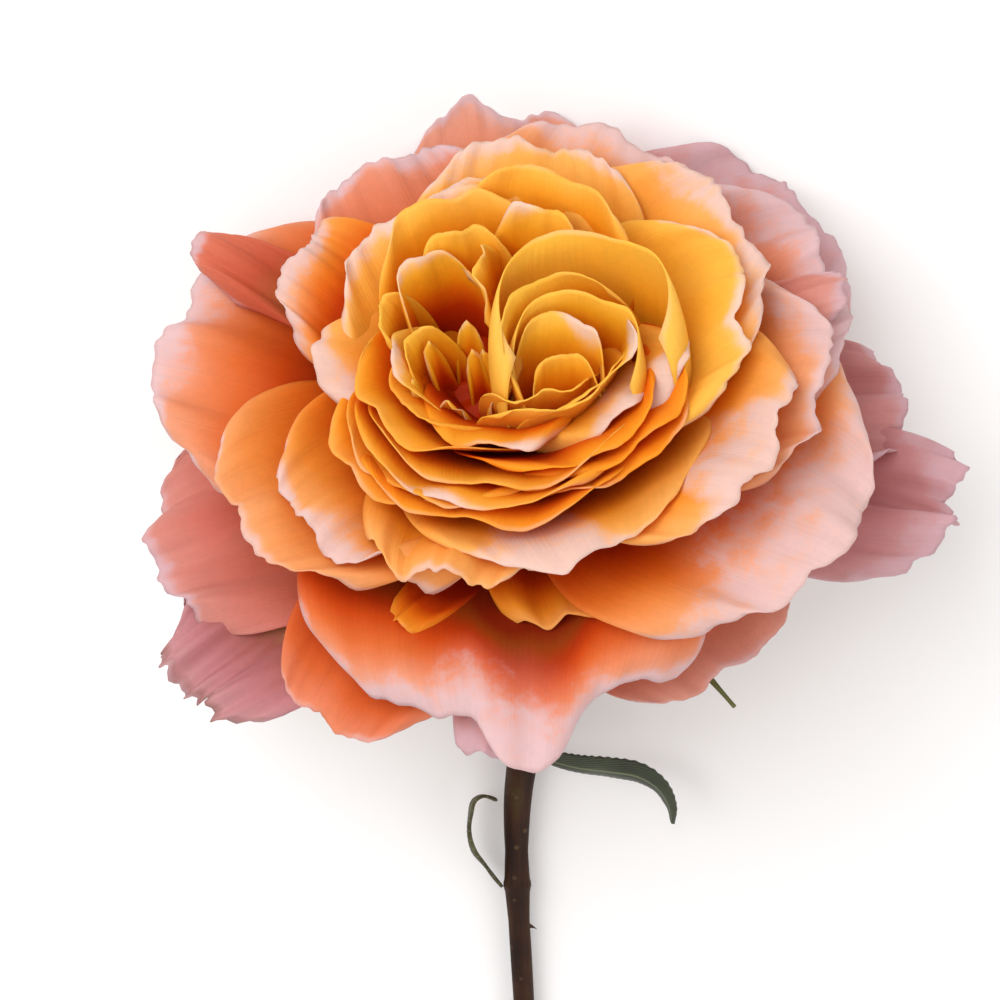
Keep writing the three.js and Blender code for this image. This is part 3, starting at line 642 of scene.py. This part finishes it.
def whorl(name, petals, start, cells_across, cells_along, seed):
    """Makes one piece of petals: bent grids, given thickness."""
    mesh = bmesh.new()
    layers = {key: mesh.verts.layers.float.new(key) for key in NUMBERS}
    weight = mesh.verts.layers.deform.verify()
    for number, numbers in enumerate(petals):
        p = dict(numbers, seed=seed + SEED_STEP * number)
        verts = bmesh.ops.create_grid(
            mesh, x_segments=cells_across, y_segments=cells_along, size=1)["verts"]
        u = np.array([vert.co.x for vert in verts])
        v = start + (1 - start) * (np.array([vert.co.y for vert in verts]) + 1) / 2
        points = to_table(petal_points(p, u, v))
        points[:, 2] = np.maximum(points[:, 2], TABLE_CLEARANCE)
        to_tip = (1 - v) * p["length"] * rim_height(p, u)
        to_side = (1 - np.abs(u)) * p["width"] / 2 * smooth(v / 0.5) + SIDE_BAND * (1 - v)
        rim = np.minimum(to_tip, to_side * 1.2)
        blush = p["blush"] * (1 + 0.4 * np.sin(6 * u + 5 * p["seed"]))
        for centre, spread, reach in p["patches"]:
            blush = blush + reach * np.exp(-(((u - centre) / spread) ** 2))
        # Depth falls with the distance below the rim, and the ramps turn it into the petal's deeper colour
        # and painted shade.
        depth = 1 - p["warm"] - to_tip / (p["deep"] or p["length"])
        for vert, point, a, d, c, r, b in zip(verts, points, v, depth, u, rim, blush):
            vert.co = point * MM
            vert[layers["along"]] = a
            vert[layers["depth"]] = d
            vert[layers["across"]] = c + 3 * p["seed"]
            vert[layers["rim"]] = r
            vert[layers["tone"]] = p["tone"]
            vert[layers["blush"]] = b
            vert[weight][0] = float(mix(1, RIM_THINNESS, smooth(a)))
    piece = finish_piece(mesh, name, [PETAL_BACK, PETAL_FACE], "bloom")
    piece.vertex_groups.new(name="thickness")
    shell = piece.modifiers.new("thickness", "SOLIDIFY")
    shell.thickness = PETAL_THICKNESS * MM
    shell.offset = 0
    shell.vertex_group = "thickness"
    shell.material_offset = 1
    shell.material_offset_rim = 1


# Each whorl's piece, its rows, where along the petals it starts, and its cells across and along a petal.
WHORLS = [
    ("guard_petals", GUARDS, 0.0, 60, 60),
    ("outer_petals", OUTER, 0.0, 60, 60),
    ("second_petals", SECOND, 0.0, 52, 56),
    ("inner_petals", INNER, 0.1, 44, 48),
    ("folded_petals", FOLDS, 0.1, 48, 40),
    ("eye_petals", EYE, 0.1, 12, 30),
]
for number, (name, petals, start, cells_across, cells_along) in enumerate(WHORLS):
    whorl(name, petals, start, cells_across, cells_along, seed=1.7 * number + 1)

# %% [markdown]
# ## The heart of the bloom
# Deep inside, dozens of petals are packed so tightly that only their edges can be told apart, and they close
# every gap down to the receptacle. A profile spun about the flower's axis gives that body, and slanting
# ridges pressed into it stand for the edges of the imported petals.

# %% Heart
HEART_PROFILE = [
    (0, -1), (5.4, -1), (8, 0), (11, 2), (13.8, 4.8), (16, 8), (17.4, 11.5), (17.6, 14), (17, 16.5),
    (15.6, 19), (13.4, 21.4), (10, 23.4), (5, 24.6), (0, 25),
]
SIDE_RIDGE = 0.09
TOP_RIDGE = 0.06
HEART_TOP = 26
heart_mesh = bmesh.new()
profile = [heart_mesh.verts.new((r, 0, z)) for r, z in HEART_PROFILE]
outline = [heart_mesh.edges.new(pair) for pair in zip(profile, profile[1:])]
bmesh.ops.subdivide_edges(heart_mesh, edges=outline, cuts=3)
bmesh.ops.spin(heart_mesh, geom=heart_mesh.verts[:] + heart_mesh.edges[:], cent=(0, 0, 0), axis=(0, 0, 1),
               angle=2 * math.pi, steps=180, use_merge=True)
bmesh.ops.remove_doubles(heart_mesh, verts=heart_mesh.verts[:], dist=1e-4)
bmesh.ops.recalc_face_normals(heart_mesh, faces=heart_mesh.faces[:])
heart_layers = {key: heart_mesh.verts.layers.float.new(key) for key in NUMBERS}
for vert in heart_mesh.verts:
    turn = math.atan2(vert.co.y, vert.co.x)
    slant = 0.5 + 0.5 * math.sin(9 * turn + 0.35 * vert.co.z) * math.sin(4 * turn - 0.5 * vert.co.z)
    squeeze = 1 - SIDE_RIDGE * slant
    top = 1 - TOP_RIDGE * slant * max(0.0, vert.co.z / HEART_TOP)
    # It has the deepest colours of the golden skin, partly painted shade deep in the bloom, and low down the
    # yellow-green claws of the mauve one.
    vert[heart_layers["along"]] = 0.2 + 0.012 * vert.co.z
    vert[heart_layers["depth"]] = 0.05 + 0.009 * max(0.0, vert.co.z)
    vert[heart_layers["across"]] = 0.5 * turn
    vert[heart_layers["rim"]] = 20
    vert[heart_layers["tone"]] = float(3 * (1 - smooth((vert.co.z - 5) / 10)))
    vert[heart_layers["blush"]] = 0.1
    vert.co = to_table(np.array([vert.co.x * squeeze, vert.co.y * squeeze, vert.co.z * top])) * MM
finish_piece(heart_mesh, "heart", [PETAL_FACE], "bloom")

# %% [markdown]
# ## The stem
# Under the bloom the stem bends down to the table and runs along it to the cut. A tube on a smooth route does
# it: a flat grid rolled up, with its seam merged. Young rose wood is never quite round, so slow ridges and
# two swollen leaf nodes are worked into the radius. A curve object with a bevel would be as quick, but its
# radius can't ripple round the stem.

# %% Routes and tubes
def smooth_route(points, count):
    """Evenly spaced points on a smooth curve through the given ones."""
    knots = np.array(points, float)
    knots = np.vstack([2 * knots[0] - knots[1], knots, 2 * knots[-1] - knots[-2]])
    fine = []
    for a, b, c, d in zip(knots, knots[1:], knots[2:], knots[3:]):
        before, here, after = (np.linalg.norm(q - p) ** 0.5 for p, q in ((a, b), (b, c), (c, d)))
        leave = ((b - a) / before - (c - a) / (before + here) + (c - b) / here) * here
        arrive = ((c - b) / here - (d - b) / (here + after) + (d - c) / after) * here
        t = np.linspace(0, 1, 24, endpoint=False)[:, None]
        fine.append((2 * t**3 - 3 * t**2 + 1) * b + (t**3 - 2 * t**2 + t) * leave
                    + (3 * t**2 - 2 * t**3) * c + (t**3 - t**2) * arrive)
    fine = np.vstack([*fine, knots[-2:-1]])
    lengths = np.concatenate([[0], np.cumsum(np.linalg.norm(np.diff(fine, axis=0), axis=1))])
    even = np.linspace(0, lengths[-1], count)
    return np.stack([np.interp(even, lengths, fine[:, i]) for i in range(3)], axis=1)


def directions(route):
    """Each route point's direction, its own right-hand side, and its own upwards."""
    forward = np.gradient(route, axis=0)
    forward /= np.linalg.norm(forward, axis=1)[:, None]
    right = np.cross(forward, [0, 0, 1])
    right /= np.linalg.norm(right, axis=1)[:, None]
    return forward, right, np.cross(right, forward)


def tube(mesh, route, radius, sides):
    """Rolls a grid into a tube on a route. radius(angle, share) gives its size in mm."""
    stations = len(route) - 1
    _, right, up = directions(route)
    verts = bmesh.ops.create_grid(mesh, x_segments=sides, y_segments=stations, size=1)["verts"]
    u = np.array([vert.co.x for vert in verts])
    share = (np.array([vert.co.y for vert in verts]) + 1) / 2
    station = np.rint(share * stations).astype(int)
    angle = np.pi * u
    size = radius(angle, share)
    outwards = np.sin(angle)[:, None] * right[station] + np.cos(angle)[:, None] * up[station]
    points = route[station] + size[:, None] * outwards
    points[:, 2] = np.maximum(points[:, 2], 0)
    for vert, point in zip(verts, points):
        vert.co = point * MM
    bmesh.ops.remove_doubles(mesh, verts=verts, dist=1e-7)
    ends = [edge for edge in mesh.edges if edge.is_boundary]
    return bmesh.ops.holes_fill(mesh, edges=ends, sides=sides + 1)["faces"]


print("A test route is", len(smooth_route([(0, 0, 0), (10, 0, 0), (10, 10, 0)], 21)), "points long")

# %% [markdown]
# ## Bark and pith
# The bark of a young cane is smooth and waxed, red-brown over green, so it shines a little along its length.
# Noise stretched along the stem gives its streaks, and a cell texture gives the corky pores. The fresh cut
# shows pale wood and pith, matt and fibrous.

# %% Bark and pith
# Streaks 1.4 mm wide and 22 mm long, which is coarser than the real ones, and a pore every 2.4 mm.
STREAK = (scale_for(1.4), scale_for(22), scale_for(1.4))
PORE_SPACING = 2.4


def bark_skin():
    """Young rose bark: a thin wax over streaks, which gives a long soft shine, and dots of matt cork."""
    material, tree = new_material("young_rose_bark")
    place = add(tree, "TexCoord").outputs["Object"]
    stretched = add(tree, "Mapping", {"Vector": place, "Scale": STREAK}).outputs[0]
    streak = add(tree, "TexNoise", {"Vector": stretched, "Scale": 1.0, "Detail": 4}).outputs["Fac"]
    patch = add(tree, "TexNoise", {"Vector": place, "Scale": scale_for(7.7), "Detail": 3}).outputs["Fac"]
    blend = add(tree, "Math", {0: streak, 1: patch}, operation="ADD").outputs[0]
    half = add(tree, "Math", {0: blend, 1: 0.5}, operation="MULTIPLY").outputs[0]
    colour = add(tree, "ValToRGB", {"Fac": half}, stops=[
        (0.3, "#180A04"), (0.45, "#2A1408"), (0.55, "#381E0C"), (0.7, "#403414")]).outputs[0]
    pores = add(tree, "TexVoronoi", {"Vector": place, "Scale": scale_for(PORE_SPACING)}).outputs["Distance"]
    dots = add(tree, "MapRange", {
        "Value": pores, "From Min": 0.1, "From Max": 0.22, "To Min": 0.6, "To Max": 0.0}).outputs[0]
    colour = add(tree, "Mix", {0: dots, 6: colour, 7: linear("#5C4830")}, data_type="RGBA").outputs[2]
    relief = add(tree, "Math", {0: streak, 1: dots}, operation="ADD").outputs[0]
    bump = add(tree, "Bump", {"Height": relief, "Strength": 0.4, "Distance": 0.0003}).outputs[0]
    skin = add(tree, "BsdfPrincipled", {
        "Base Color": colour, "Roughness": 0.55, "Specular IOR Level": 0.2, "Normal": bump}).outputs[0]
    add(tree, "OutputMaterial", {"Surface": skin})
    return material


def pith_skin():
    """The fresh cut: pale, matt fibres, 0.05 mm across on a real stem and drawn at 0.4 mm to show."""
    material, tree = new_material("cut_pith")
    place = add(tree, "TexCoord").outputs["Object"]
    fibres = add(tree, "TexNoise", {"Vector": place, "Scale": scale_for(0.4), "Detail": 3}).outputs["Fac"]
    colour = add(tree, "ValToRGB", {"Fac": fibres}, stops=[(0.35, "#B9B27A"), (0.65, "#DDD6A6")]).outputs[0]
    skin = add(tree, "BsdfPrincipled", {"Base Color": colour, "Roughness": 0.7}).outputs[0]
    add(tree, "OutputMaterial", {"Surface": skin})
    return material


BARK = bark_skin()
PITH = pith_skin()
print("Bark nodes:", len(BARK.node_tree.nodes))

# %% Stem
HIP_FOOT = -13.6
STEM_ROUTE = [
    (1.6, -19, -13.2), (1.2, -31, -15.4), (0.3, -42, -16.6), (-0.6, -51, -17.2), (-1.6, -60, -17.7),
    (-1.6, -74, -18.3), (-0.5, -95, -19), (1.5, -140, -20), (3, -195, -20.7),
]
STEM_SHARES = [0, 0.12, 0.22, 0.27, 0.32, 0.35, 0.385, 0.66, 0.69, 0.72, 1]
STEM_RADII = [3.1, 2.8, 2.6, 2.25, 1.8, 2.05, 1.7, 1.75, 2.1, 1.8, 1.95]
stem_points = [np.array([0, 0, HIP_FOOT]) @ flower_axes] + [np.array(point) for point in STEM_ROUTE]
stem_route = smooth_route(np.array(stem_points) + RECEPTACLE, 361)


def stem_radius(angle, share):
    """The stem's radius in mm: its taper, five low ridges, and a collar at each leaf node."""
    plain = np.interp(share, STEM_SHARES, STEM_RADII)
    ridges = 0.03 * np.sin(5 * angle + 4 * share) + 0.02 * np.sin(3 * angle - 9 * share + 1)
    lumps = 0.025 * np.sin(41 * share + 1) * np.sin(2 * angle + 17 * share)
    collar = sum(0.1 * np.exp(-(((share - node) / 0.004) ** 2)) for node in (0.352, 0.692))
    return plain * (1 + ridges + lumps + collar)


stem_mesh = bmesh.new()
ends = tube(stem_mesh, stem_route, stem_radius, 28)
bmesh.ops.recalc_face_normals(stem_mesh, faces=stem_mesh.faces[:])
cut_end = min(ends, key=lambda face: face.calc_center_median().y)
cut_end.material_index = 1
print("The cut lies at y =", round(float(stem_route[-1][1]), 1), "mm")

# %% [markdown]
# ## Prickles
# A rose's prickles grow from its skin, and each bends a little to one side. A short tube that narrows to
# nothing makes one. It is sunk into the bark and stays in the stem's piece, as it can't be taken off whole.

# %% Prickles
PRICKLE_FOOT = 0.4
# Each prickle's share of the stem's length, its direction round the stem in degrees, and its size in mm.
PRICKLES = [(0.392, 90, 1.3), (0.58, 60, 2.0), (0.79, -50, 2.2), (0.9, 75, 2.0)]
forward, right, up = directions(stem_route)
for share, lean, size in PRICKLES:
    at = round(share * (len(stem_route) - 1))
    lean = math.radians(lean)
    out = math.cos(lean) * up[at] - math.sin(lean) * right[at]
    foot = stem_route[at] + out * (float(stem_radius(lean, share)) - PRICKLE_FOOT)
    rise = np.linspace(0, 1, 13)[:, None]
    hooked = foot + size * (1.1 * rise * out + 0.5 * rise**2 * forward[at])
    tube(stem_mesh, hooked, lambda angle, t, size=size: 0.42 * size * (1 - t) ** 1.4 + 0.03, 14)
bmesh.ops.recalc_face_normals(stem_mesh, faces=stem_mesh.faces[:])
finish_piece(stem_mesh, "stem_and_prickles", [BARK, PITH], "stem")

# %% [markdown]
# ## The calyx
# A rose bloom stands on a green hip with five sepals, which bend back under an open flower. The hip is a
# profile spun about the flower's axis. Each sepal is one more bent grid, wide at the hip and drawn out to a
# thin tip.

# %% Green skin
SIDE_VEIN_SLANT = 0.5


def green_skin(name, stops, vein_rate, roughness):
    """A waxy leaf skin with a paler midrib and side veins, lit through a little from behind. The wax gives it
    a broad dull shine. The leaf has vein_rate / 6.28 pairs of side veins."""
    material, tree = new_material(name)
    place = add(tree, "TexCoord").outputs["Object"]
    along = add(tree, "Attribute", attribute_name="along").outputs["Fac"]
    across = add(tree, "Attribute", attribute_name="across").outputs["Fac"]
    patch = add(tree, "TexNoise", {"Vector": place, "Scale": scale_for(6.2), "Detail": 4}).outputs["Fac"]
    colour = add(tree, "ValToRGB", {"Fac": patch}, stops=stops).outputs[0]
    width = add(tree, "Math", {0: across}, operation="ABSOLUTE").outputs[0]
    midrib = add(tree, "MapRange", {
        "Value": width, "From Min": 0.03, "From Max": 0.12, "To Min": 0.6, "To Max": 0.0}).outputs[0]
    slanted = add(tree, "Math", {0: width, 1: -SIDE_VEIN_SLANT, 2: along},
                  operation="MULTIPLY_ADD").outputs[0]
    rows = add(tree, "Math", {0: slanted, 1: vein_rate}, operation="MULTIPLY").outputs[0]
    rows = add(tree, "Math", {0: rows}, operation="SINE").outputs[0]
    side = add(tree, "MapRange", {"Value": rows, "From Min": 0.8, "To Max": 0.3}).outputs[0]
    veins = add(tree, "Math", {0: midrib, 1: side}, operation="MAXIMUM").outputs[0]
    colour = add(tree, "Mix", {0: veins, 6: colour, 7: linear("#8C9468")}, data_type="RGBA").outputs[2]
    # Leaf cells, 0.05 mm across, are drawn at 0.55 mm so that their relief shows.
    grain = add(tree, "TexNoise", {"Vector": place, "Scale": scale_for(0.55), "Detail": 3}).outputs["Fac"]
    relief = add(tree, "Math", {0: grain, 1: 0.3, 2: veins}, operation="MULTIPLY_ADD").outputs[0]
    bump = add(tree, "Bump", {"Height": relief, "Strength": 0.4, "Distance": 0.0003}).outputs[0]
    skin = add(tree, "BsdfPrincipled", {
        "Base Color": colour, "Roughness": roughness, "Normal": bump}).outputs[0]
    through = add(tree, "BsdfTranslucent", {"Color": colour}).outputs[0]
    leafy = add(tree, "MixShader", {0: 0.15, 1: skin, 2: through}).outputs[0]
    add(tree, "OutputMaterial", {"Surface": leafy})
    return material


SEPAL_SKIN = green_skin("downy_sepal", [(0.3, "#4A5426"), (0.5, "#626E34"), (0.7, "#7C6E3C")], 60, 0.55)
YOUNG_SKIN = green_skin("young_bract_leaf", [(0.3, "#342A14"), (0.5, "#4A4422"), (0.7, "#5C5C34")], 80, 0.5)
LEAF_SKIN = green_skin("waxy_bract_leaf", [(0.3, "#242A1C"), (0.55, "#343C28"), (0.75, "#444C36")], 80, 0.4)
print("Leaf nodes:", len(LEAF_SKIN.node_tree.nodes))

# %% Hip
HIP_TOP = -1.3
HIP_PROFILE = [
    (0, -12), (3.2, -12), (3.3, -11), (3.7, -9.6), (4.5, -8), (5.3, -6.6), (5.6, -5), (5.6, -4),
    (5.3, -2.2), (5, -1.2), (4.4, 0), (0, 0),
]
hip_mesh = bmesh.new()
profile = [hip_mesh.verts.new((r, 0, z + HIP_TOP)) for r, z in HIP_PROFILE]
rim_edges = [hip_mesh.edges.new(pair) for pair in zip(profile, profile[1:])]
bmesh.ops.spin(hip_mesh, geom=profile + rim_edges, cent=(0, 0, 0), axis=(0, 0, 1), angle=2 * math.pi,
               steps=48, use_merge=True)
bmesh.ops.remove_doubles(hip_mesh, verts=hip_mesh.verts[:], dist=1e-4)
bmesh.ops.recalc_face_normals(hip_mesh, faces=hip_mesh.faces[:])
for vert in hip_mesh.verts:
    swell = 1 + 0.025 * math.sin(5 * math.atan2(vert.co.y, vert.co.x)) + 0.01 * math.sin(9 * vert.co.z)
    vert.co = to_table(np.array([vert.co.x * swell, vert.co.y * swell, vert.co.z])) * MM
hip = finish_piece(hip_mesh, "hip", [SEPAL_SKIN], "calyx")
rounded = hip.modifiers.new("rounded", "SUBSURF")
rounded.levels = 1
rounded.render_levels = 1

# %% Leafy blades
def blade(mesh, place, cells_across, cells_along):
    """Bends a grid by place(u, v), in mm over the table, and keeps u and v at its points."""
    along = mesh.verts.layers.float.get("along") or mesh.verts.layers.float.new("along")
    across = mesh.verts.layers.float.get("across") or mesh.verts.layers.float.new("across")
    verts = bmesh.ops.create_grid(mesh, x_segments=cells_across, y_segments=cells_along, size=1)["verts"]
    u = np.array([vert.co.x for vert in verts])
    v = (np.array([vert.co.y for vert in verts]) + 1) / 2
    points = place(u, v)
    points[:, 2] = np.maximum(points[:, 2], TABLE_CLEARANCE)
    for vert, point, a, c in zip(verts, points, v, u):
        vert.co = point * MM
        vert[along] = a
        vert[across] = c


def thicken(piece, thickness):
    """Gives a blade its thickness, half to each side."""
    shell = piece.modifiers.new("thickness", "SOLIDIFY")
    shell.thickness = thickness * MM
    shell.offset = 0
    print(piece.name, "is", thickness, "mm thick")


# %% Sepals
SEPAL_WIDTH = 7
SEPAL_STEPS = 20
# Each sepal's turn, its opening from the axis at the root and at the tip, and its length.
SEPALS = [
    (309, 100, 103, 45), (21, 105, 135, 30), (93, 100, 120, 24), (165, 105, 135, 31), (237, 105, 132, 26),
]
sepal_mesh = bmesh.new()
for number, (turn, root, tip, length) in enumerate(SEPALS):
    def sepal_place(u, v, turn=math.radians(turn), root=root, tip=tip, length=length, number=number):
        rho = np.full_like(u, 3)
        height = np.full_like(u, HIP_TOP - 1.6)
        step = length * v / SEPAL_STEPS
        for i in range(SEPAL_STEPS):
            angle = np.radians(mix(root, tip, smooth((i + 0.5) / SEPAL_STEPS * v / 0.7)))
            rho = rho + np.sin(angle) * step
            height = height + np.cos(angle) * step
        half = SEPAL_WIDTH / 2 * mix(1, 0.06, smooth((v - 0.1) / 0.9)) * (1 + 0.1 * np.sin(25 * v + number))
        half_across = half * u
        fold = 0.3 * half * u * u + 0.35 * np.sin(9 * v + 2 * number) * v * (1 - v)
        return to_table(np.stack([
            rho * math.cos(turn) - half_across * math.sin(turn),
            rho * math.sin(turn) + half_across * math.cos(turn),
            height - fold], axis=1))
    blade(sepal_mesh, sepal_place, 12, 60)
sepals = finish_piece(sepal_mesh, "sepals", [SEPAL_SKIN], "calyx")
thicken(sepals, 0.6)

# %% [markdown]
# ## The bract leaves
# Two narrow leaves grow from the stem, a young one that curls back to it and a full one just under the bloom.
# Each could be a flat cut-out, bent with a curve modifier, but a route for the midrib, a direction for the
# width and a rounded outline say it in fewer numbers. The blade folds a little along its midrib, and small
# teeth run along its edge.

# %% Bract leaves
LEAF_STATIONS = 120
LEAF_THICKNESS = 0.5
BRACTS = {
    "bract_leaf_left": dict(
        route=[(-4.1, -74.5, -18), (-6.8, -70.6, -17.4), (-8.4, -67.9, -16.6), (-9.2, -64.5, -15.8),
               (-9, -61.3, -15.2), (-8.4, -59, -15), (-7.1, -58.2, -15), (-4.9, -59, -15.6)],
        spread=(0.1, 0.28, 0.95), width=3.2, fold=0.1, skin=YOUNG_SKIN),
    "bract_leaf_right": dict(
        route=[(1.5, -51.3, -15.3), (3.4, -51.6, -13.8), (7.9, -52, -11.4), (12.9, -52, -9.4),
               (17.3, -52.6, -8.8), (20.5, -54.8, -9.4), (22.4, -58.2, -10.8), (23.1, -61.8, -12.6)],
        spread=(0, 0.8, 0.6), width=5, fold=0.3, skin=LEAF_SKIN),
}
for name, leaf in BRACTS.items():
    route = smooth_route(np.array(leaf["route"]) + RECEPTACLE, LEAF_STATIONS + 1)
    forward, _, _ = directions(route)
    wide = np.array(leaf["spread"]) / np.linalg.norm(leaf["spread"])
    level_out = wide - (forward @ wide)[:, None] * forward
    level_out /= np.linalg.norm(level_out, axis=1)[:, None]

    def leaf_place(u, v, leaf=leaf, route=route, forward=forward, level_out=level_out):
        at = np.rint(v * LEAF_STATIONS).astype(int)
        grown = np.sin(np.pi * np.clip(v, 0, 1) ** 0.85) ** 0.8
        half = leaf["width"] / 2 * mix(mix(0.22, 0.05, v), 1, grown)
        half = half * (1 + 0.04 * np.abs(u) ** 4 * np.sin(150 * v))
        face = np.cross(level_out[at], forward[at])
        lift = leaf["fold"] * half * u * u + 0.12 * np.sin(14 * v) * u
        return route[at] + (half * u)[:, None] * level_out[at] + lift[:, None] * face
    leaf_mesh = bmesh.new()
    blade(leaf_mesh, leaf_place, 14, LEAF_STATIONS)
    piece = finish_piece(leaf_mesh, name + "_blade", [leaf["skin"]], name)
    thicken(piece, LEAF_THICKNESS)
